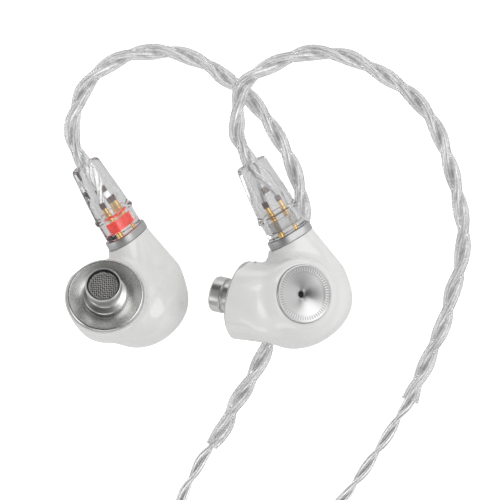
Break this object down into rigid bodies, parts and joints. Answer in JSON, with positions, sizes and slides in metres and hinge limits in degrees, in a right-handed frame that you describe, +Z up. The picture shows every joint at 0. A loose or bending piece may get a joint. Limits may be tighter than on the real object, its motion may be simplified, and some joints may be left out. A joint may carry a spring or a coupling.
{
  "type": "in-ear monitor pair with detachable cable",
  "caption": "Pair of rounded in-ear monitors with metal nozzles, clear two-pin plugs, formed ear hooks and a twisted cable coiled to a jack.",
  "frame": {"origin": "on the table under the middle of the two earphones", "axes": "+X from the right earphone to the left one, +Y towards the ear hooks, +Z up from the table"},
  "size_m": [0.0679, 0.1619, 0.0217],
  "materials": {
    "pearl_shell": "glossy off-white",
    "turned_metal": "satin turned",
    "mesh_metal": "fine woven mesh",
    "black_rubber": "matt",
    "black_plastic": "matt",
    "driver_steel": "plated",
    "diaphragm_film": "thin film",
    "copper_wire": "enamelled copper",
    "circuit_board": "solder mask",
    "lead_insulation": "enamel",
    "black_fabric": "acoustic cloth",
    "gold_contact": "gold plated",
    "clear_plastic": "clear, polished",
    "red_plastic": "translucent red",
    "silver_wire": "stranded",
    "clear_sleeve": "clear soft sleeve",
    "silver_cord": "clear jacket over silver strands"
  },
  "bodies": {
    "cable": {"plug_body_l": "clear_plastic", "pin_block_l": "clear_plastic", "pins_l": "gold_contact", "lead_wires_l": "silver_wire", "ear_guide_l": "clear_sleeve", "branch_l": "silver_cord", "plug_body_r": "clear_plastic", "pin_block_r": "red_plastic", "pins_r": "gold_contact", "lead_wires_r": "silver_wire", "ear_guide_r": "clear_sleeve", "branch_r": "silver_cord", "branch_coil": "silver_cord", "y_splitter": "turned_metal", "splitter_joint": "black_plastic", "main_cord": "silver_cord", "main_coil": "silver_cord", "jack_boot": "clear_sleeve", "jack_grip": "turned_metal", "jack_sleeve": "gold_contact", "jack_ring": "gold_contact", "jack_tip": "gold_contact", "jack_insulators": "black_plastic"},
    "earphone_left": {"shell_l": "pearl_shell", "nozzle_plate_l": "turned_metal", "nozzle_l": "turned_metal", "nozzle_mesh_l": "mesh_metal", "mesh_ring_l": "black_rubber", "driver_frame_l": "black_plastic", "yoke_l": "driver_steel", "magnet_l": "driver_steel", "pole_plate_l": "driver_steel", "terminal_board_l": "circuit_board", "driver_leads_l": "lead_insulation", "dish_plate_l": "turned_metal", "vent_screen_l": "black_fabric", "collar_l": "turned_metal", "socket_l": "black_plastic", "socket_contacts_l": "gold_contact"},
    "earphone_right": {"shell_r": "pearl_shell", "nozzle_plate_r": "turned_metal", "nozzle_r": "turned_metal", "nozzle_mesh_r": "mesh_metal", "mesh_ring_r": "black_rubber", "driver_frame_r": "black_plastic", "yoke_r": "driver_steel", "magnet_r": "driver_steel", "pole_plate_r": "driver_steel", "terminal_board_r": "circuit_board", "driver_leads_r": "lead_insulation", "dish_plate_r": "turned_metal", "vent_screen_r": "black_fabric", "collar_r": "turned_metal", "socket_r": "black_plastic", "socket_contacts_r": "gold_contact"},
    "cone_left": {"diaphragm_l": "diaphragm_film", "voice_coil_l": "copper_wire"},
    "cone_right": {"diaphragm_r": "diaphragm_film", "voice_coil_r": "copper_wire"},
    "chin_slider": {"chin_slider": "clear_plastic"}
  },
  "joints": [
    {"name": "left_plug_pull", "type": "slide", "parent": "cable", "child": "earphone_left", "axis": [0.4731, -0.8696, -0.1413], "range_m": [0, 0.006]},
    {"name": "right_plug_pull", "type": "slide", "parent": "cable", "child": "earphone_right", "axis": [0.4964, -0.8428, -0.2079], "range_m": [0, 0.006]},
    {"name": "left_cone", "type": "slide", "parent": "earphone_left", "child": "cone_left", "axis": [-0.9024, 0.1933, -0.3852], "range_m": [-0.0002, 0.0002], "stiffness_N_per_m": 400},
    {"name": "right_cone", "type": "slide", "parent": "earphone_right", "child": "cone_right", "axis": [-0.0539, 0.382, 0.9226], "range_m": [-0.0002, 0.0002], "stiffness_N_per_m": 400},
    {"name": "chin_slider_run", "type": "slide", "parent": "cable", "child": "chin_slider", "axis": [0, -1, 0], "range_m": [0, 0.01]}
  ]
}
